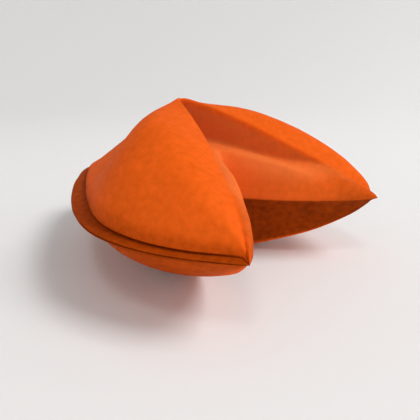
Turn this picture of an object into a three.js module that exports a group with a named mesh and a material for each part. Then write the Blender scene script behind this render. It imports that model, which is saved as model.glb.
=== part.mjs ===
// A fortune cookie: one round wafer, folded in half and then bent over a rim, so that the
// two ends of the fold come together as tips. It is one shut, unbroken piece, so it is one solid.
//
// Frame, in millimetres: +Z up and X across the cookie, which is the same on its left and
// right. The tips point to -Y with the notch between them. The origin is under the middle
// of the cookie, on the surface that it rests on.
//
// The form is worked out round the apex, the point of the upper bend, at x = 0, y = 0. The
// seam, where the edges of the two halves of the wafer meet, lies in the level plane z = 0.
// The last step moves the whole to its frame.
import * as THREE from 'three';

// Driving dimensions
const TIP_SPACING = 38;
const TIP_REACH = 31.8; // from the apex forward to the tips
const APEX_HEIGHT = 17.3; // above the seam
const BELLY_DEPTH = 13.1; // lowest point of the lower bend before it is flattened
const REST_DEPTH = 12.2; // level of the flat spot that the cookie rests on, below the seam

// The wafer's edge seen from above: its distance from the apex at even steps of angle,
// from the middle of the back to the last step before a tip
const EDGE_RADII = [30.1, 23.5, 21.3, 23.7, 30.1];

// The pressed edge: the domes end in a rim, and a thin flange runs out under it to the lip
const FLANGE_WIDTH = 2.9;
const FLANGE_WIDTH_AT_TIP = 1.2;
const RIM_HEIGHT = 2.2;
const NECK_DEPTH = 0.9; // how far the dome overhangs the root of the flange
const SEAM_DEPTH = 1.0; // how deep the slit between the two lips is
const EDGE_ROUNDING = 0.2; // of the rim and the lip
const LIP_START = 0.93; // share of the flange's width where it turns down into the lip

// Heights of the edge's profile from the rim down into the slit, as shares of the rim's height
const EDGE_LEVELS = [0.8, 0.62, 0.5, 0.34, 0.24, 0.12, 0.05, 0];

// Where the edge and the domes change, as shares of the way round from the back to a tip
const FLANGE_NARROWS = 0.54;
const FLANGE_NARROWEST = 0.95;
const RIM_SINKS = 0.4;
const LOBE_START = 0.4; // the lobes begin to swell
const LOBE_FULL = 0.81;

// The notch: how far in front of the apex the fold's crease starts, and how round its corner is
const CREASE_START = 11.0;
const CORNER_RADIUS = 1.2;

// Bow of the ridge and of the crease seen from above: slope at the apex and power of the curve
const RIDGE_BOW = { slope: 1.36, power: 1.9 };
const CREASE_BOW = { slope: 1.485, power: 2.27 };
const RIDGE_TURNS_IN = 0.5; // share of the way to the tip where the ridge turns in to the rim's end

// The upper and the lower half: height of the bend and of the rim's end at a tip, fall of the
// ridge from the apex to the tips, and fall of the dome from the apex to the rim
const UPPER = {
  peak: APEX_HEIGHT,
  limit: APEX_HEIGHT,
  tipRim: 1.0,
  ridge: { run: 1.24, drop: 0.94 },
  dome: { backRun: 1.21, lobeRun: 2.1, backDrop: 1.17, lobeDrop: 0.63 },
};
const LOWER = {
  peak: BELLY_DEPTH,
  limit: REST_DEPTH,
  tipRim: 0.4,
  ridge: { run: 1.69, drop: 0.785 },
  dome: { backRun: 1.4, lobeRun: 2.1, backDrop: 1.24, lobeDrop: 0.82 },
};
const SHOULDER = 0.5; // share of the dome's width over which it curves down to the ridge

// The inner wall of a lobe. Heights on it are shares of the way from the ridge down to the
// crease, places along it are shares of the way to the tip, and depths are shares of the
// fold's width.
const VALLEY = 0.43; // it turns out into the rounded fold
const VALLEY_ENDS = 0.68; // place where the valley has risen to the ridge
const VALLEY_RISE = 4; // power of that rise
const BRIM_FULL = 0.1; // the brim under the ridge swells to here
const BRIM_END = 0.35;
const BRIM_DEPTH = 0.03;
const DIP_END = 0.66; // the wall leans back from the ridge to here
const DIP_DEPTH = 0.13;
const DIP_FADES = 0.1; // places between which the brim and the dip fade
const DIP_GONE = 0.6;
const FOLD_ROUNDNESS = 0.035; // smaller is a fuller fold
const FOLD_ROUNDNESS_AT_TIP = 0.24;
const FOLD_SPREADS = 0.28; // places between which the fold flattens
const FOLD_SPREAD = 0.71;
const FOLD_SLOPE = 0.055; // what is left of the slope at the crease, which keeps it sharp
const UNDERCUT_START = 0.2; // the hollow under the crease, on the lower wall
const UNDERCUT_DEPTH = 0.14;

// The tips: the higher the power, the shorter the stretch over which they close
const NOSE_POWER = 120; // all heights run out in a blunt nose
const OVERHANG_POWER = 16; // overhangs and the slit run out before it

// Steps of the mesh
const SECTIONS = 60;
const SECTION_CROWDING = 0.5; // towards the tips and the corner of the notch; 0 is even
const UPPER_WALL_STEPS = 4; // down to the valley
const LOWER_WALL_STEPS = 8; // from the valley to the crease
const LEAST_VALLEY = 0.14; // highest place of the row of points that follows the valley
const DOME_STEPS = 12;

const TIP_X = TIP_SPACING / 2;
const TIP_ANGLE = Math.atan2(TIP_X, -TIP_REACH);
const TIP_RADIUS = Math.hypot(TIP_X, TIP_REACH);

const mix = THREE.MathUtils.lerp;
const clamp = THREE.MathUtils.clamp;
const smoothstep = THREE.MathUtils.smoothstep;

// Distance from the apex to the wafer's edge at an angle from the back: a smooth curve through
// EDGE_RADII and the tip, mirrored at the back and led a step past the tip
const edgeSteps = [EDGE_RADII[1], ...EDGE_RADII, TIP_RADIUS, 2 * TIP_RADIUS - EDGE_RADII.at(-1)];
const edgePoints = edgeSteps.map((radius) => new THREE.Vector3(radius, 0, 0));
const edgeCurve = new THREE.CatmullRomCurve3(edgePoints, false, 'catmullrom');

function edgeRadius(angle) {
  const step = 1 + (Math.abs(angle) / TIP_ANGLE) * EDGE_RADII.length;
  return edgeCurve.getPoint(step / (edgeSteps.length - 1)).x;
}

function flangeWidth(angle) {
  const narrowed = smoothstep(Math.abs(angle) / TIP_ANGLE, FLANGE_NARROWS, FLANGE_NARROWEST);
  return mix(FLANGE_WIDTH, FLANGE_WIDTH_AT_TIP, narrowed);
}

function rimHeight(angle, half) {
  const share = Math.abs(angle) / TIP_ANGLE;
  return mix(RIM_HEIGHT, half.tipRim, smoothstep(share, RIM_SINKS, 1));
}

// Height of a dome over the point x, y: full at the apex and down to the rim's height at the
// rim. At the back it falls like a cone, and over the lobes it is rounder.
function domeHeight(x, y, half) {
  const distance = Math.hypot(x, y);
  if (distance === 0) return half.peak;
  const angle = Math.atan2(Math.abs(x), y);
  const lobe = smoothstep(angle / TIP_ANGLE, LOBE_START, LOBE_FULL);
  const run = mix(half.dome.backRun, half.dome.lobeRun, lobe);
  const drop = mix(half.dome.backDrop, half.dome.lobeDrop, lobe);
  const outward = clamp(distance / (edgeRadius(angle) - flangeWidth(angle)), 0, 1);
  const rim = rimHeight(angle, half);
  return rim + (half.peak - rim) * (1 - outward ** run) ** drop;
}

// Share of the way to the tip, rounded off where the left and right lobes meet
function roundedShare(t) {
  const rounded = (length) => Math.hypot(length, CORNER_RADIUS) - CORNER_RADIUS;
  return rounded(t * TIP_X) / rounded(TIP_X);
}

function bowed(share, bow) {
  return bow.slope * share + (1 - bow.slope) * share ** bow.power;
}

// A half wave over a span: 0 at its ends and outside it, 1 in its middle
function wave(v, start, end) {
  return Math.sin(Math.PI * clamp((v - start) / (end - start), 0, 1));
}

// Inner wall of a lobe: how far out towards the crease it stands, v of the way down from the
// ridge. Above the seam it leans back under a slight brim, then swells into the fold. Towards
// the tip that fades, and the wall becomes one rounded slope. Below the seam it runs straight
// to the lower ridge but for a hollow under the crease.
function valleyPlace(share) {
  return VALLEY * (1 - clamp(share / VALLEY_ENDS, 0, 1) ** VALLEY_RISE);
}

function upperWall(v, share) {
  const valley = valleyPlace(share);
  const u = clamp((v - valley) / (1 - valley), 0, 1);
  const spread = smoothstep(share, FOLD_SPREADS, FOLD_SPREAD);
  const roundness = mix(FOLD_ROUNDNESS, FOLD_ROUNDNESS_AT_TIP, spread);
  const swell = (1 - Math.exp(-u / roundness)) / (1 - Math.exp(-1 / roundness));
  const brim = smoothstep(v, 0, BRIM_FULL) * (1 - smoothstep(v, BRIM_FULL, BRIM_END));
  const lean = BRIM_DEPTH * brim - DIP_DEPTH * wave(v, 0, DIP_END);
  return mix(swell, u, FOLD_SLOPE) + lean * (1 - smoothstep(share, DIP_FADES, DIP_GONE));
}

function lowerWall(v) {
  return v - UNDERCUT_DEPTH * wave(v, UNDERCUT_START, 1);
}

// Places of the rows of points from the ridge down to just above the crease: even as far as
// the valley, then close together over the fold and wider below it
function wallPlaces(share) {
  const turn = Math.max(valleyPlace(share), LEAST_VALLEY);
  const places = [];
  for (let i = 0; i < UPPER_WALL_STEPS; i += 1) places.push((turn * i) / UPPER_WALL_STEPS);
  for (let i = 0; i < LOWER_WALL_STEPS; i += 1) places.push(mix(turn, 1, (i / LOWER_WALL_STEPS) ** 2));
  return places;
}

// Half a section of the cookie, above or below the seam, from the crease up over the ridge
// and the dome to the bottom of the slit. t runs from -1 at one tip to 1 at the other.
function halfSection(t, half) {
  const share = roundedShare(t);
  const forward = clamp(bowed(share, RIDGE_BOW), 0, 1);
  const turnedIn = smoothstep(Math.abs(t), RIDGE_TURNS_IN, 1);
  const inset = 1 - (FLANGE_WIDTH_AT_TIP / TIP_RADIUS) * turnedIn;
  const ridge = new THREE.Vector2(t * TIP_X, -TIP_REACH * forward).multiplyScalar(inset);
  const creaseReach = mix(CREASE_START, TIP_REACH, bowed(share, CREASE_BOW));
  const crease = new THREE.Vector2(t * TIP_X, -creaseReach);
  const wall = half === UPPER ? upperWall : lowerWall;
  const fallen = (1 - forward ** half.ridge.run) ** half.ridge.drop;
  const ridgeHeight = half.tipRim + (half.peak - half.tipRim) * fallen;

  const nose = Math.sqrt(1 - Math.abs(t) ** NOSE_POWER);
  const taper = 1 - Math.abs(t) ** OVERHANG_POWER;
  const side = half === UPPER ? 1 : -1;
  const points = [];
  const add = (place, height) =>
    points.push(new THREE.Vector3(place.x, place.y, side * Math.min(height, half.limit) * nose));

  for (const v of [1, ...wallPlaces(share).slice(1).reverse()]) {
    add(ridge.clone().lerp(crease, wall(v, share)), Math.min(ridgeHeight, half.limit) * (1 - v));
  }

  const angle = TIP_ANGLE * t;
  const edge = edgeRadius(angle);
  const rim = edge - flangeWidth(angle);
  const out = (radius) => new THREE.Vector2(radius * Math.sin(angle), radius * Math.cos(angle));
  const stepToRidge = ridgeHeight - domeHeight(ridge.x, ridge.y, half);
  for (let i = 0; i <= DOME_STEPS; i += 1) {
    const w = i / DOME_STEPS;
    const place = ridge.clone().lerp(out(rim), w);
    const shoulder = stepToRidge * Math.max(0, 1 - w / SHOULDER) ** 2;
    add(place, domeHeight(place.x, place.y, half) + shoulder);
  }

  // Round under the rim, in to the neck, out along the flange and into the slit
  const neck = rim - NECK_DEPTH * taper;
  const radii = [
    rim + EDGE_ROUNDING * taper,
    rim,
    neck,
    (neck + edge) / 2,
    mix(neck, edge, LIP_START),
    edge,
    edge - EDGE_ROUNDING * taper,
    edge - SEAM_DEPTH * taper,
  ];
  radii.forEach((radius, i) => add(out(radius), rimHeight(angle, half) * EDGE_LEVELS[i]));
  return points;
}

// The whole surface: closed sections side by side from tip to tip, each tip one point
function cookieGeometry() {
  const sections = [];
  for (let i = 1; i < SECTIONS; i += 1) {
    const even = (2 * i) / SECTIONS - 1;
    const t = even - (SECTION_CROWDING * Math.sin(2 * Math.PI * even)) / (2 * Math.PI);
    const upper = halfSection(t, UPPER);
    const lower = halfSection(t, LOWER).slice(1, -1).reverse();
    sections.push([...upper, ...lower]);
  }
  const round = sections[0].length;
  const points = sections.flat();
  const leftTip = points.push(new THREE.Vector3(-TIP_X, -TIP_REACH, 0)) - 1;
  const rightTip = points.push(new THREE.Vector3(TIP_X, -TIP_REACH, 0)) - 1;

  const faces = [];
  for (let i = 0; i < sections.length - 1; i += 1) {
    for (let j = 0; j < round; j += 1) {
      const next = (j + 1) % round;
      const [a, b] = [i * round + j, i * round + next];
      const [c, d] = [a + round, b + round];
      // The diagonal is mirrored between the left and right halves
      if (2 * i < sections.length - 1) faces.push(a, c, b, b, c, d);
      else faces.push(a, c, d, a, d, b);
    }
  }
  const start = (sections.length - 1) * round;
  for (let j = 0; j < round; j += 1) {
    const next = (j + 1) % round;
    faces.push(leftTip, j, next, rightTip, start + next, start + j);
  }

  const geometry = new THREE.BufferGeometry().setFromPoints(points);
  geometry.setIndex(faces);
  geometry.translate(0, (TIP_REACH - EDGE_RADII[0]) / 2, REST_DEPTH);
  geometry.computeVertexNormals();
  return geometry;
}

function bakedWafer() {
  return new THREE.MeshStandardMaterial({ color: 0xd8561b, roughness: 0.6, metalness: 0 });
}

const cookie = new THREE.Mesh(cookieGeometry(), bakedWafer());
cookie.name = 'fortune_cookie';

const group = new THREE.Group();
group.add(cookie);

export default group;
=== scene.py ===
import math

import bpy
import numpy as np
from mathutils import Matrix, Vector


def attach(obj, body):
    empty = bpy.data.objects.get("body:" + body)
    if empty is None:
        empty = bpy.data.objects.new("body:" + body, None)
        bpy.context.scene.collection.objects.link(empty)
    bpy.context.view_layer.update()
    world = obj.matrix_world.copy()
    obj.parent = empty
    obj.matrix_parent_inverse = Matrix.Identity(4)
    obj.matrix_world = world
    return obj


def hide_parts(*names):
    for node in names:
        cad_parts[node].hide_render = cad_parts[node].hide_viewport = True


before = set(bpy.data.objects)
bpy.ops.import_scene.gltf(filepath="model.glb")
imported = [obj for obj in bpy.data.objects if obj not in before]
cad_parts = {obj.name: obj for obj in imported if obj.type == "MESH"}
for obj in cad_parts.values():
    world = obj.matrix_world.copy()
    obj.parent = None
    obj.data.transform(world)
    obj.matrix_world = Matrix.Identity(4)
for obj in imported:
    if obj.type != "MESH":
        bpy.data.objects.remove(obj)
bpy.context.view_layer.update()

# A fortune cookie: one round wafer folded in half and bent over a rim. Lengths are in
# millimetres until the mesh is made. The form is worked out round the apex of the upper bend,
# with the seam between the two pressed edges in the plane z = 0, as the part's source does.
MM = 0.001
TIP_SPACING = 38.0
TIP_REACH = 31.8
APEX_HEIGHT = 17.3
BELLY_DEPTH = 13.1
REST_DEPTH = 12.2
EDGE_RADII = (30.1, 23.5, 21.3, 23.7, 30.1)

# The pressed edge
FLANGE_WIDTH = 2.9
FLANGE_WIDTH_AT_TIP = 1.2
RIM_HEIGHT = 2.2
NECK_DEPTH = 0.9
SEAM_DEPTH = 1.0
EDGE_ROUNDING = 0.2
LIP_START = 0.93
EDGE_LEVELS = (0.8, 0.62, 0.5, 0.34, 0.24, 0.12, 0.05, 0.0)
FLANGE_NARROWS = 0.54
FLANGE_NARROWEST = 0.95
RIM_SINKS = 0.4
LOBE_START = 0.4
LOBE_FULL = 0.81

# The notch, the ridges and the crease
CREASE_START = 11.0
CORNER_RADIUS = 1.2
RIDGE_SLOPE, RIDGE_POWER = 1.36, 1.9
CREASE_SLOPE, CREASE_POWER = 1.485, 2.27
RIDGE_TURNS_IN = 0.5

# Upper and lower half: height of the bend, the height that nothing passes, height of the rim's
# end at a tip, run and drop of the ridge, run and drop of the dome at the back and over the
# lobes, and shade of the dome. The upper bend is clear of its limit, and the lower one is cut
# flat by it.
UPPER = {"peak": APEX_HEIGHT, "limit": APEX_HEIGHT + 1.0, "tip_rim": 1.0, "ridge": (1.24, 0.94),
         "back": (1.21, 1.17), "lobe": (2.1, 0.63), "dome_shade": 0.0}
LOWER = {"peak": BELLY_DEPTH, "limit": REST_DEPTH, "tip_rim": 0.4, "ridge": (1.69, 0.785),
         "back": (1.4, 1.24), "lobe": (2.1, 0.82), "dome_shade": 0.7}
LIMIT_SOFTNESS = 0.07
SHOULDER = 0.5

# The inner walls: heights are shares of the way from the ridge down to the crease, and places
# along them are shares of the way to the tip
VALLEY = 0.43
VALLEY_ENDS = 0.68
VALLEY_RISE = 4
BRIM_FULL = 0.1
BRIM_END = 0.35
BRIM_DEPTH = 0.03
DIP_END = 0.66
DIP_DEPTH = 0.13
DIP_FADES = 0.1
DIP_GONE = 0.6
FOLD_ROUNDNESS = 0.035
FOLD_ROUNDNESS_AT_TIP = 0.24
FOLD_SPREADS = 0.28
FOLD_SPREAD = 0.71
FOLD_SLOPE = 0.055
UNDERCUT_START = 0.2
UNDERCUT_DEPTH = 0.14

# The tips
NOSE_POWER = 120
OVERHANG_POWER = 16

# Tones, where 1 is the strongest: browning with painted shade of the edge and of the dome just
# above it, and painted shade of the inner walls
DOME_BROWNING_AND_SHADE = 0.45
DOME_BROWNING_AND_SHADE_REACH = 0.6
NECK_BROWNING_AND_SHADE = 0.6
TIP_BROWNING_AND_SHADE = 0.5
VALLEY_SHADE = 1.05
TIP_SHADE = 0.45
TIP_SHADE_AT_CREASE = 0.75
LOWER_WALL_SHADE = 1.25

# Unevenness of baked dough: size of the waves and how far they move the surface
BROAD_WAVES, BROAD_DEPTH = 9.0, 0.13
FINE_WAVES, FINE_DEPTH = 3.1, 0.045
FINEST_WAVES, FINEST_DEPTH = 1.3, 0.022

# Steps of the surface
SECTIONS = 360
SECTION_CROWDING = 0.5
WALL_STEPS = 30
DOME_STEPS = 70
EDGE_STEPS = 30

TIP_X = TIP_SPACING / 2
TIP_ANGLE = math.atan2(TIP_X, -TIP_REACH)
TIP_RADIUS = math.hypot(TIP_X, TIP_REACH)
APEX_SHIFT = (0.0, (TIP_REACH - EDGE_RADII[0]) / 2, REST_DEPTH)


def mix(a, b, share):
    """a where share is 0, b where it is 1, and straight between them."""
    return a + (b - a) * share


def smoothstep(x, low, high):
    """0 below low, 1 above high, and 3u^2 - 2u^3 between them."""
    u = np.clip((x - low) / (high - low), 0.0, 1.0)
    return u * u * (3.0 - 2.0 * u)


def wave(v, start, end):
    """A half sine between start and end, and 0 outside them."""
    return np.sin(np.pi * np.clip((v - start) / (end - start), 0.0, 1.0))


def through(before, start, end, after, share):
    """Catmull-Rom curve from start to end, led by the points before and after them."""
    bend = 3.0 * (start - end) + after - before
    pull = 2.0 * before - 5.0 * start + 4.0 * end - after
    return start + 0.5 * share * (end - before + share * (pull + share * bend))


def edge_radius(angle):
    """Distance from the apex to the wafer's edge: a curve through EDGE_RADII at even steps of
    angle from the back to the tip."""
    led = (EDGE_RADII[1],) + EDGE_RADII + (TIP_RADIUS, 2.0 * TIP_RADIUS - EDGE_RADII[-1])
    radii = np.array(led)
    step = np.abs(angle) / TIP_ANGLE * len(EDGE_RADII)
    i = np.minimum(step.astype(int), len(EDGE_RADII) - 1)
    return through(radii[i], radii[i + 1], radii[i + 2], radii[i + 3], step - i)


def flange_width(angle):
    """Width of the pressed edge: even round the back and narrow towards the tips."""
    narrowed = smoothstep(np.abs(angle) / TIP_ANGLE, FLANGE_NARROWS, FLANGE_NARROWEST)
    return mix(FLANGE_WIDTH, FLANGE_WIDTH_AT_TIP, narrowed)


def rim_height(angle, half):
    """Height of the dome's rim over the seam, lower towards the tips."""
    return mix(RIM_HEIGHT, half["tip_rim"], smoothstep(np.abs(angle) / TIP_ANGLE, RIM_SINKS, 1.0))


def dome_height(x, y, half):
    """Height of a dome over x, y: rim + (peak - rim) * (1 - outward^run)^drop, where outward is
    the share of the way from the apex to the rim, and run and drop change from the back to the
    lobes."""
    angle = np.arctan2(np.abs(x), y)
    lobe = smoothstep(angle / TIP_ANGLE, LOBE_START, LOBE_FULL)
    run = mix(half["back"][0], half["lobe"][0], lobe)
    drop = mix(half["back"][1], half["lobe"][1], lobe)
    outward = np.clip(np.hypot(x, y) / (edge_radius(angle) - flange_width(angle)), 0.0, 1.0)
    rim = rim_height(angle, half)
    return rim + (half["peak"] - rim) * (1.0 - outward**run) ** drop


def rounded_share(t):
    """Share of the way to the tip: |t| with its corner at 0 rounded like a hyperbola."""
    reach = np.hypot(t * TIP_X, CORNER_RADIUS) - CORNER_RADIUS
    return reach / (math.hypot(TIP_X, CORNER_RADIUS) - CORNER_RADIUS)


def bowed(share, slope, power):
    """slope * share + (1 - slope) * share^power, which is 1 at the tip."""
    return slope * share + (1.0 - slope) * share**power


def valley_place(share):
    """How far down an upper wall turns out into the fold: VALLEY, rising to 0 at VALLEY_ENDS."""
    return VALLEY * (1.0 - np.clip(share / VALLEY_ENDS, 0.0, 1.0) ** VALLEY_RISE)


def upper_wall(v, share):
    """How far an inner wall stands out from the ridge line towards the crease, v of the way
    down: a slight brim and dip, then an exponential swell into the rounded fold. Towards the
    tip the dip fades, the swell starts higher, up to the ridge, and flattens to a plain slope."""
    valley = valley_place(share)
    u = np.clip((v - valley) / (1.0 - valley), 0.0, 1.0)
    roundness = mix(FOLD_ROUNDNESS, FOLD_ROUNDNESS_AT_TIP, smoothstep(share, FOLD_SPREADS, FOLD_SPREAD))
    swell = (1.0 - np.exp(-u / roundness)) / (1.0 - np.exp(-1.0 / roundness))
    brim = BRIM_DEPTH * smoothstep(v, 0.0, BRIM_FULL) * (1.0 - smoothstep(v, BRIM_FULL, BRIM_END))
    dip = DIP_DEPTH * wave(v, 0.0, DIP_END)
    return mix(swell, u, FOLD_SLOPE) + (brim - dip) * (1.0 - smoothstep(share, DIP_FADES, DIP_GONE))


def lower_wall(v, share):
    """The same below the seam, alike at every share: a straight line less a half sine, the hollow
    under the crease."""
    return v - UNDERCUT_DEPTH * wave(v, UNDERCUT_START, 1.0)


def upper_tones(v, share):
    """Tones of an upper wall: painted shade, darker above the valley, towards the tip and at the
    crease near it, and painted sheen, a lighter, whiter colour above the valley and a painted
    highlight on the fold's upper side."""
    valley = valley_place(share)
    in_fold = smoothstep(v, valley * 0.8, valley * 1.2 + 0.05)
    fold_top = in_fold * (1.0 - smoothstep(v, valley + 0.1, valley + 0.45))
    near_tip = smoothstep(share, 0.4, 0.8)
    tip_shade = mix(TIP_SHADE, TIP_SHADE_AT_CREASE, smoothstep(v, 0.5, 1.0))
    # Painted shade above the valley, towards the tip and at the crease near it
    shade = VALLEY_SHADE * (1.0 - in_fold) * (1.0 - share) + near_tip * tip_shade
    # Painted sheen: lighter above the valley, and a painted highlight on the fold's top
    pale = mix(0.6, 0.25, in_fold) + fold_top * mix(0.2, 0.65, smoothstep(share, 0.0, 0.3))
    return shade, pale * (1.0 - share)


def lower_tones(v, share):
    """Tones of a lower wall: painted shade all over, and no painted sheen."""
    everywhere = np.ones_like(v * share)
    return LOWER_WALL_SHADE * everywhere, 0.0 * everywhere


def rounded_limit(height, limit):
    """The lower of height and limit, with the corner between them rounded."""
    return -LIMIT_SOFTNESS * np.logaddexp(-height / LIMIT_SOFTNESS, -limit / LIMIT_SOFTNESS)


def edge_profile(radii, heights, steps):
    """A smooth curve through the profile's points, which are columns of radii and heights."""
    place = np.linspace(1.0, radii.shape[1] - 2.0, steps + 1)[1:]
    i = np.minimum(place.astype(int), radii.shape[1] - 3)
    share = (place - i)[None, :]
    curves = [through(c[:, i - 1], c[:, i], c[:, i + 1], c[:, i + 2], share) for c in (radii, heights)]
    return curves[0], curves[1]


def half_sections(t, half, wall, wall_tones):
    """Half of every section, from the crease up over the ridge and the dome to the bottom of
    the slit: x, y, height, browning with painted shade, painted shade and painted sheen of its
    points, one row for each t."""
    t = t[:, None]
    share = rounded_share(t)
    forward = np.clip(bowed(share, RIDGE_SLOPE, RIDGE_POWER), 0.0, 1.0)
    inset = 1.0 - FLANGE_WIDTH_AT_TIP / TIP_RADIUS * smoothstep(np.abs(t), RIDGE_TURNS_IN, 1.0)
    ridge_x = t * TIP_X * inset
    ridge_y = -TIP_REACH * forward * inset
    crease_y = -mix(CREASE_START, TIP_REACH, bowed(share, CREASE_SLOPE, CREASE_POWER))
    run, drop = half["ridge"]
    ridge_height = half["tip_rim"] + (half["peak"] - half["tip_rim"]) * (1.0 - forward**run) ** drop
    nose = np.sqrt(1.0 - np.abs(t) ** NOSE_POWER)
    taper = 1.0 - np.abs(t) ** OVERHANG_POWER

    v = 1.0 - np.arange(WALL_STEPS)[None, :] / WALL_STEPS
    outward = wall(v, share)
    wall_x = mix(ridge_x, t * TIP_X, outward)
    wall_y = mix(ridge_y, crease_y, outward)
    wall_z = rounded_limit(ridge_height, half["limit"]) * (1.0 - v)

    angle = TIP_ANGLE * t
    edge = edge_radius(angle)
    rim = edge - flange_width(angle)
    w = np.linspace(0.0, 1.0, DOME_STEPS + 1)[None, :]
    dome_x = mix(ridge_x, rim * np.sin(angle), w)
    dome_y = mix(ridge_y, rim * np.cos(angle), w)
    step_to_ridge = ridge_height - dome_height(ridge_x, ridge_y, half)
    shoulder = step_to_ridge * np.clip(1.0 - w / SHOULDER, 0.0, None) ** 2
    dome_z = rounded_limit(dome_height(dome_x, dome_y, half) + shoulder, half["limit"])

    neck = rim - NECK_DEPTH * taper
    last = rim - (rim - np.hypot(ridge_x, ridge_y)) / DOME_STEPS
    radii = np.concatenate([
        last,
        rim,
        rim + EDGE_ROUNDING * taper,
        rim,
        neck,
        (neck + edge) / 2.0,
        mix(neck, edge, LIP_START),
        edge,
        edge - EDGE_ROUNDING * taper,
        edge - SEAM_DEPTH * taper,
        edge - (2.0 * SEAM_DEPTH - EDGE_ROUNDING) * taper,
    ], axis=1)
    levels = np.array((1.0,) + EDGE_LEVELS + (0.0,))[None, :] * rim_height(angle, half)
    heights = np.concatenate([dome_z[:, -2:-1], levels], axis=1)
    edge_r, edge_z = edge_profile(radii, heights, EDGE_STEPS)

    # The pressed edge is browned and darkened with painted shade, and so is the dome where it turns
    # down to it
    from_rim = np.hypot(dome_x - rim * np.sin(angle), dome_y - rim * np.cos(angle))
    dome_brown_and_shade = DOME_BROWNING_AND_SHADE * np.exp(-(from_rim / DOME_BROWNING_AND_SHADE_REACH) ** 2)
    along_edge = smoothstep(np.linspace(0.0, 1.0, EDGE_STEPS), 0.0, 0.3)
    edge_brown_and_shade = mix(NECK_BROWNING_AND_SHADE, 1.0, along_edge) * np.ones_like(edge_z)
    wall_shade, wall_painted_sheen = wall_tones(v, share)
    from_ridge = smoothstep(v, 0.0, 0.12)
    # Painted shade on the lower half's dome, the belly turned away from the light
    dome_shade = half["dome_shade"] * smoothstep(w, 0.0, 0.3) * np.ones_like(dome_z)
    none_on_wall, none_on_dome, none_on_edge = [np.zeros_like(z) for z in (wall_z, dome_z, edge_z)]
    brown_and_shade = np.concatenate([none_on_wall, dome_brown_and_shade, edge_brown_and_shade], axis=1)
    shade = np.concatenate([wall_shade * from_ridge, dome_shade, none_on_edge], axis=1)
    pale = np.concatenate([wall_painted_sheen * from_ridge, none_on_dome, none_on_edge], axis=1)

    x = np.concatenate([wall_x, dome_x, edge_r * np.sin(angle)], axis=1)
    y = np.concatenate([wall_y, dome_y, edge_r * np.cos(angle)], axis=1)
    z = np.concatenate([wall_z, dome_z, edge_z], axis=1) * nose
    return np.stack([x, y, z, brown_and_shade, shade, pale], axis=-1)


def value_noise(points, size, seed):
    """Smooth noise from -1 to 1: seeded random values on a cubic lattice with steps of size,
    blended between the eight corners round each point by the smoothstep of its place."""
    count = 24
    lattice = np.random.default_rng(seed).uniform(-1.0, 1.0, (count, count, count))
    place = points / size
    low = np.floor(place).astype(int)
    u = place - low
    u = u * u * (3.0 - 2.0 * u)
    total = np.zeros(points.shape[:-1])
    for corner in np.ndindex(2, 2, 2):
        index = (low + np.array(corner)) % count
        weight = np.prod(np.where(corner, u, 1.0 - u), axis=-1)
        total += weight * lattice[index[..., 0], index[..., 1], index[..., 2]]
    return total


def grid_normals(points):
    """Unit normals of the closed grid: the cross product of its two central differences."""
    along = np.gradient(points, axis=0)
    around = np.roll(points, -1, axis=1) - np.roll(points, 1, axis=1)
    normals = np.cross(along, around)
    return normals / np.maximum(np.linalg.norm(normals, axis=-1, keepdims=True), 1e-9)


def cookie_surface():
    """All sections from tip to tip: an array of x, y, z for each section and place round it, and
    one of browning with painted shade, painted shade and painted sheen."""
    even = np.linspace(-1.0, 1.0, SECTIONS + 1)[1:-1]
    t = even - SECTION_CROWDING * np.sin(2.0 * np.pi * even) / (2.0 * np.pi)
    upper = half_sections(t, UPPER, upper_wall, upper_tones)
    lower = half_sections(t, LOWER, lower_wall, lower_tones)[:, 1:-1][:, ::-1]
    lower[..., 2] *= -1.0
    loop = np.concatenate([upper, lower], axis=1)
    return loop[..., :3], loop[..., 3:]


def soften_folds(points):
    """Averages each point with its two neighbours round the section, half and a quarter each,
    which takes the sharpness off the ridges and the crease."""
    return 0.5 * points + 0.25 * (np.roll(points, 1, axis=1) + np.roll(points, -1, axis=1))


def uneven(points, brown_and_shade):
    """Broad and fine unevenness of baked dough: each point moves by a smooth noise, any way for
    the broad waves and along its normal for the fine ones, less near the floor and the tips, and
    with fine waves only where there is no browning and painted shade."""
    clear = smoothstep(points[..., 2] + REST_DEPTH, 0.0, 2.5)
    tips = smoothstep(TIP_REACH + points[..., 1], 0.0, 3.0)
    broad = np.stack([value_noise(points, BROAD_WAVES, seed) for seed in (1, 2, 3)], axis=-1)
    moved = points + BROAD_DEPTH * broad * (clear * tips)[..., None]
    fine = FINE_DEPTH * value_noise(points, FINE_WAVES, 4)
    fine += FINEST_DEPTH * value_noise(points, FINEST_WAVES, 5)
    calm = clear * tips * (1.0 - brown_and_shade)
    return moved + grid_normals(moved) * (fine * calm)[..., None]


def new_piece(name, points, faces, attributes, material):
    """A mesh object at the origin from points in metres, with its float attributes."""
    mesh = bpy.data.meshes.new(name)
    mesh.from_pydata(points.tolist(), [], faces)
    mesh.update()
    for attribute, values in attributes.items():
        layer = mesh.attributes.new(attribute, "FLOAT", "POINT")
        layer.data.foreach_set("value", values.astype(np.float32))
    mesh.polygons.foreach_set("use_smooth", np.ones(len(mesh.polygons), dtype=bool))
    mesh.materials.append(material)
    piece = bpy.data.objects.new(name, mesh)
    bpy.context.scene.collection.objects.link(piece)
    return piece


def section_faces(sections, around):
    """Quads between neighbouring sections, and a fan of triangles to the point at each tip."""
    i = np.arange(sections - 1)[:, None]
    j = np.arange(around)[None, :]
    following = (j + 1) % around
    a, b = i * around + j, i * around + following
    quads = np.stack([a, a + around, b + around, b], axis=-1).reshape(-1, 4)
    left, right = sections * around, sections * around + 1
    start = (sections - 1) * around
    fans = [(left, j, (j + 1) % around) for j in range(around)]
    fans += [(right, start + (j + 1) % around, start + j) for j in range(around)]
    return quads.tolist() + fans


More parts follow.
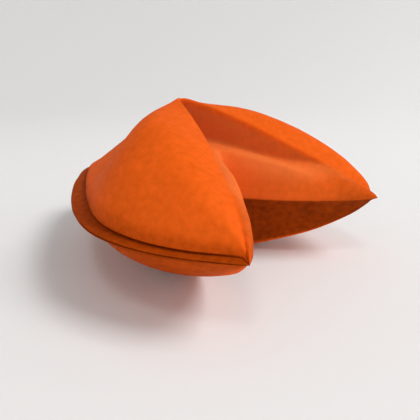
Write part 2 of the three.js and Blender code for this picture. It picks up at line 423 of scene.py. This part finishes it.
def make_cookie(material):
    """The whole cookie as one closed surface."""
    points, tones = cookie_surface()
    points = uneven(soften_folds(points), tones[..., 0])
    sections, around = points.shape[:2]
    tips = np.array([(-TIP_X, -TIP_REACH, 0.0), (TIP_X, -TIP_REACH, 0.0)])
    flat = np.concatenate([points.reshape(-1, 3), tips]) + np.array(APEX_SHIFT)
    flat[:, 2] = np.maximum(flat[:, 2], 0.0)
    # The two tip points get browning with painted shade
    at_tips = np.array([(TIP_BROWNING_AND_SHADE, 0.0, 0.0)] * 2)
    columns = np.concatenate([tones.reshape(-1, 3), at_tips]).T
    attributes = dict(zip(("browning", "shade", "pale"), columns))
    return new_piece("baked_wafer", flat * MM, section_faces(sections, around), attributes, material)


class Value:
    """A shader socket that arithmetic can be written on."""

    def __init__(self, material, socket):
        self.material = material
        self.socket = socket

    def _with(self, operation, first, second):
        return self.material.node("ShaderNodeMath", {"operation": operation}, {0: first, 1: second})

    def __add__(self, other):
        return self._with("ADD", self, other)

    def __sub__(self, other):
        return self._with("SUBTRACT", self, other)

    def __rsub__(self, other):
        return self._with("SUBTRACT", other, self)

    def __mul__(self, other):
        return self._with("MULTIPLY", self, other)

    __radd__ = __add__
    __rmul__ = __mul__


class Finish:
    """A material under construction."""

    def __init__(self, name):
        self.material = bpy.data.materials.new(name)
        self.material.use_nodes = True
        self.tree = self.material.node_tree
        self.tree.nodes.clear()

    def node(self, kind, settings=None, inputs=None, output=0):
        """Adds a node: its settings first, then the values or links of its sockets. A setting
        called stops gives a colour ramp's places and colours."""
        made = self.tree.nodes.new(kind)
        for name, value in (settings or {}).items():
            if name == "stops":
                set_stops(made.color_ramp, value)
            else:
                setattr(made, name, value)
        for name, value in (inputs or {}).items():
            if isinstance(value, Value):
                self.tree.links.new(value.socket, made.inputs[name])
            else:
                made.inputs[name].default_value = value
        if not made.outputs:
            return made
        return Value(self, made.outputs[output])


def set_stops(ramp, stops):
    """Gives a colour ramp its stops, each a place and a colour."""
    while len(ramp.elements) < len(stops):
        ramp.elements.new(1.0)
    for element, (place, colour) in zip(ramp.elements, stops):
        element.position = place
        element.color = colour


def screen(red, green, blue):
    """The linear colour of a screen colour given from 0 to 255."""
    shares = [c / 255.0 for c in (red, green, blue)]
    linear = [s / 12.92 if s <= 0.04045 else ((s + 0.055) / 1.055) ** 2.4 for s in shares]
    return (*linear, 1.0)


def baked_dough():
    """Baked wafer: orange-gold with a fine mottle, brown with painted shade at the pressed edge,
    painted shade on the inner walls and the belly, a painted highlight on the fold, nearly matt.
    """
    finish = Finish("baked_dough")
    place = finish.node("ShaderNodeTexCoord", output=3)
    browning = finish.node("ShaderNodeAttribute", {"attribute_name": "browning"}, output=2)
    shade = finish.node("ShaderNodeAttribute", {"attribute_name": "shade"}, output=2)
    pale = finish.node("ShaderNodeAttribute", {"attribute_name": "pale"}, output=2)
    mottle = finish.node("ShaderNodeTexNoise", {}, {"Vector": place, "Scale": 950.0, "Detail": 3.0,
                                                    "Roughness": 0.6})
    clouds = finish.node("ShaderNodeTexNoise", {}, {"Vector": place, "Scale": 170.0, "Detail": 2.0,
                                                    "Roughness": 0.5})
    grain = finish.node("ShaderNodeTexNoise", {}, {"Vector": place, "Scale": 2600.0, "Detail": 2.0,
                                                   "Roughness": 0.5})
    # Tone darkens with browning and painted shade at the edge, with painted shade on the walls and
    # belly, and at random with the mottle and clouds
    tone = 0.2 + browning * 0.55 + shade * 0.55 + (mottle - 0.5) * 0.5 + (clouds - 0.5) * 0.16
    baked_and_shaded = finish.node("ShaderNodeValToRGB", {"stops": [
        (0.0, screen(246, 102, 26)),
        (0.3, screen(224, 89, 18)),
        (0.7, screen(170, 65, 6)),
        (1.0, screen(122, 45, 3)),
    ]}, {"Fac": tone})
    # Mixes in the painted sheen colour, a lighter, whiter orange for the painted highlight
    colour = finish.node("ShaderNodeMix", {"data_type": "RGBA"}, {
        0: pale, 6: baked_and_shaded, 7: screen(242, 130, 68),
    }, output=2)
    roughness = 0.62 + (mottle - 0.5) * 0.25 + browning * 0.08
    relief = mottle * 0.6 + grain * 0.4
    bump = finish.node("ShaderNodeBump", {}, {"Strength": 0.35, "Distance": 0.00012, "Height": relief})
    surface = finish.node("ShaderNodeBsdfPrincipled", {}, {
        "Base Color": colour,
        "Roughness": roughness,
        "Normal": bump,
        "Specular IOR Level": 0.02,
    })
    finish.node("ShaderNodeOutputMaterial", {}, {"Surface": surface})
    return finish.material


def pale_stage():
    """The floor's plain pale finish."""
    finish = Finish("pale_stage")
    surface = finish.node("ShaderNodeBsdfPrincipled", {}, {
        "Base Color": screen(242, 241, 240),
        "Roughness": 0.9,
        "Specular IOR Level": 0.1,
    })
    finish.node("ShaderNodeOutputMaterial", {}, {"Surface": surface})
    return finish.material


def make_floor(material, flat=0.35, cove=1.0, steps=32, around=96):
    """A round floor: level out to flat, then a quarter circle of radius cove up to a wall."""
    turn = np.linspace(0.0, np.pi / 2, steps)
    level = np.array((0.0, 0.15, 0.3))
    radius = np.concatenate([level, flat + cove * np.sin(turn)])
    height = np.concatenate([0.0 * level, cove * (1.0 - np.cos(turn))])
    angle = np.linspace(0.0, 2.0 * np.pi, around, endpoint=False)
    rings = np.stack([radius[:, None] * np.cos(angle), radius[:, None] * np.sin(angle),
                      height[:, None] + 0.0 * angle], axis=-1)
    i = np.arange(len(radius) - 1)[:, None]
    j = np.arange(around)[None, :]
    following = (j + 1) % around
    quads = np.stack([i * around + j, (i + 1) * around + j, (i + 1) * around + following,
                      i * around + following], axis=-1).reshape(-1, 4)
    return new_piece("floor", rings.reshape(-1, 3), quads.tolist(), {}, material)


def aim(obj, place, target):
    """Puts obj at place, looking at target with its top up."""
    direction = Vector(target) - Vector(place)
    turn = direction.to_track_quat("-Z", "Y").to_matrix().to_4x4()
    obj.matrix_world = Matrix.Translation(Vector(place)) @ turn


def add_light(name, place, target, size, power):
    """A square area light that the camera doesn't see."""
    data = bpy.data.lights.new(name, "AREA")
    data.shape = "SQUARE"
    data.size = size
    data.energy = power
    light = bpy.data.objects.new(name, data)
    light.visible_camera = False
    bpy.context.scene.collection.objects.link(light)
    aim(light, place, target)
    return light


def add_camera():
    """The photograph's view: from the front left, looking down a little, quite close."""
    data = bpy.data.cameras.new("camera")
    data.sensor_width = 36.0
    data.lens = 34.29
    data.clip_start = 0.002
    camera = bpy.data.objects.new("camera", data)
    bpy.context.scene.collection.objects.link(camera)
    place = Vector((-0.0531, -0.0566, 0.0331))
    azimuth, down = math.radians(43.2), math.radians(18.3)
    level = math.cos(down)
    forward = Vector((math.cos(azimuth) * level, math.sin(azimuth) * level, -math.sin(down)))
    aim(camera, place, place + forward)
    bpy.context.scene.camera = camera


def add_world(brightness):
    """An even white surrounding, open above the floor's wall."""
    world = bpy.data.worlds.new("studio")
    world.use_nodes = True
    background = world.node_tree.nodes["Background"]
    background.inputs["Color"].default_value = (1.0, 1.0, 1.0, 1.0)
    background.inputs["Strength"].default_value = brightness
    bpy.context.scene.world = world


add_camera()
add_world(0.3)
LIT_POINT = (0.0, 0.0, 0.01)
add_light("key", (0.45, -0.853, 1.16), LIT_POINT, 0.6, 12.6)
add_light("fill", (-0.51, -0.33, 1.15), LIT_POINT, 0.25, 1.6)
bpy.context.scene.view_settings.view_transform = "Standard"

floor = make_floor(pale_stage())

cookie = make_cookie(baked_dough())
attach(cookie, "root")
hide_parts("fortune_cookie")
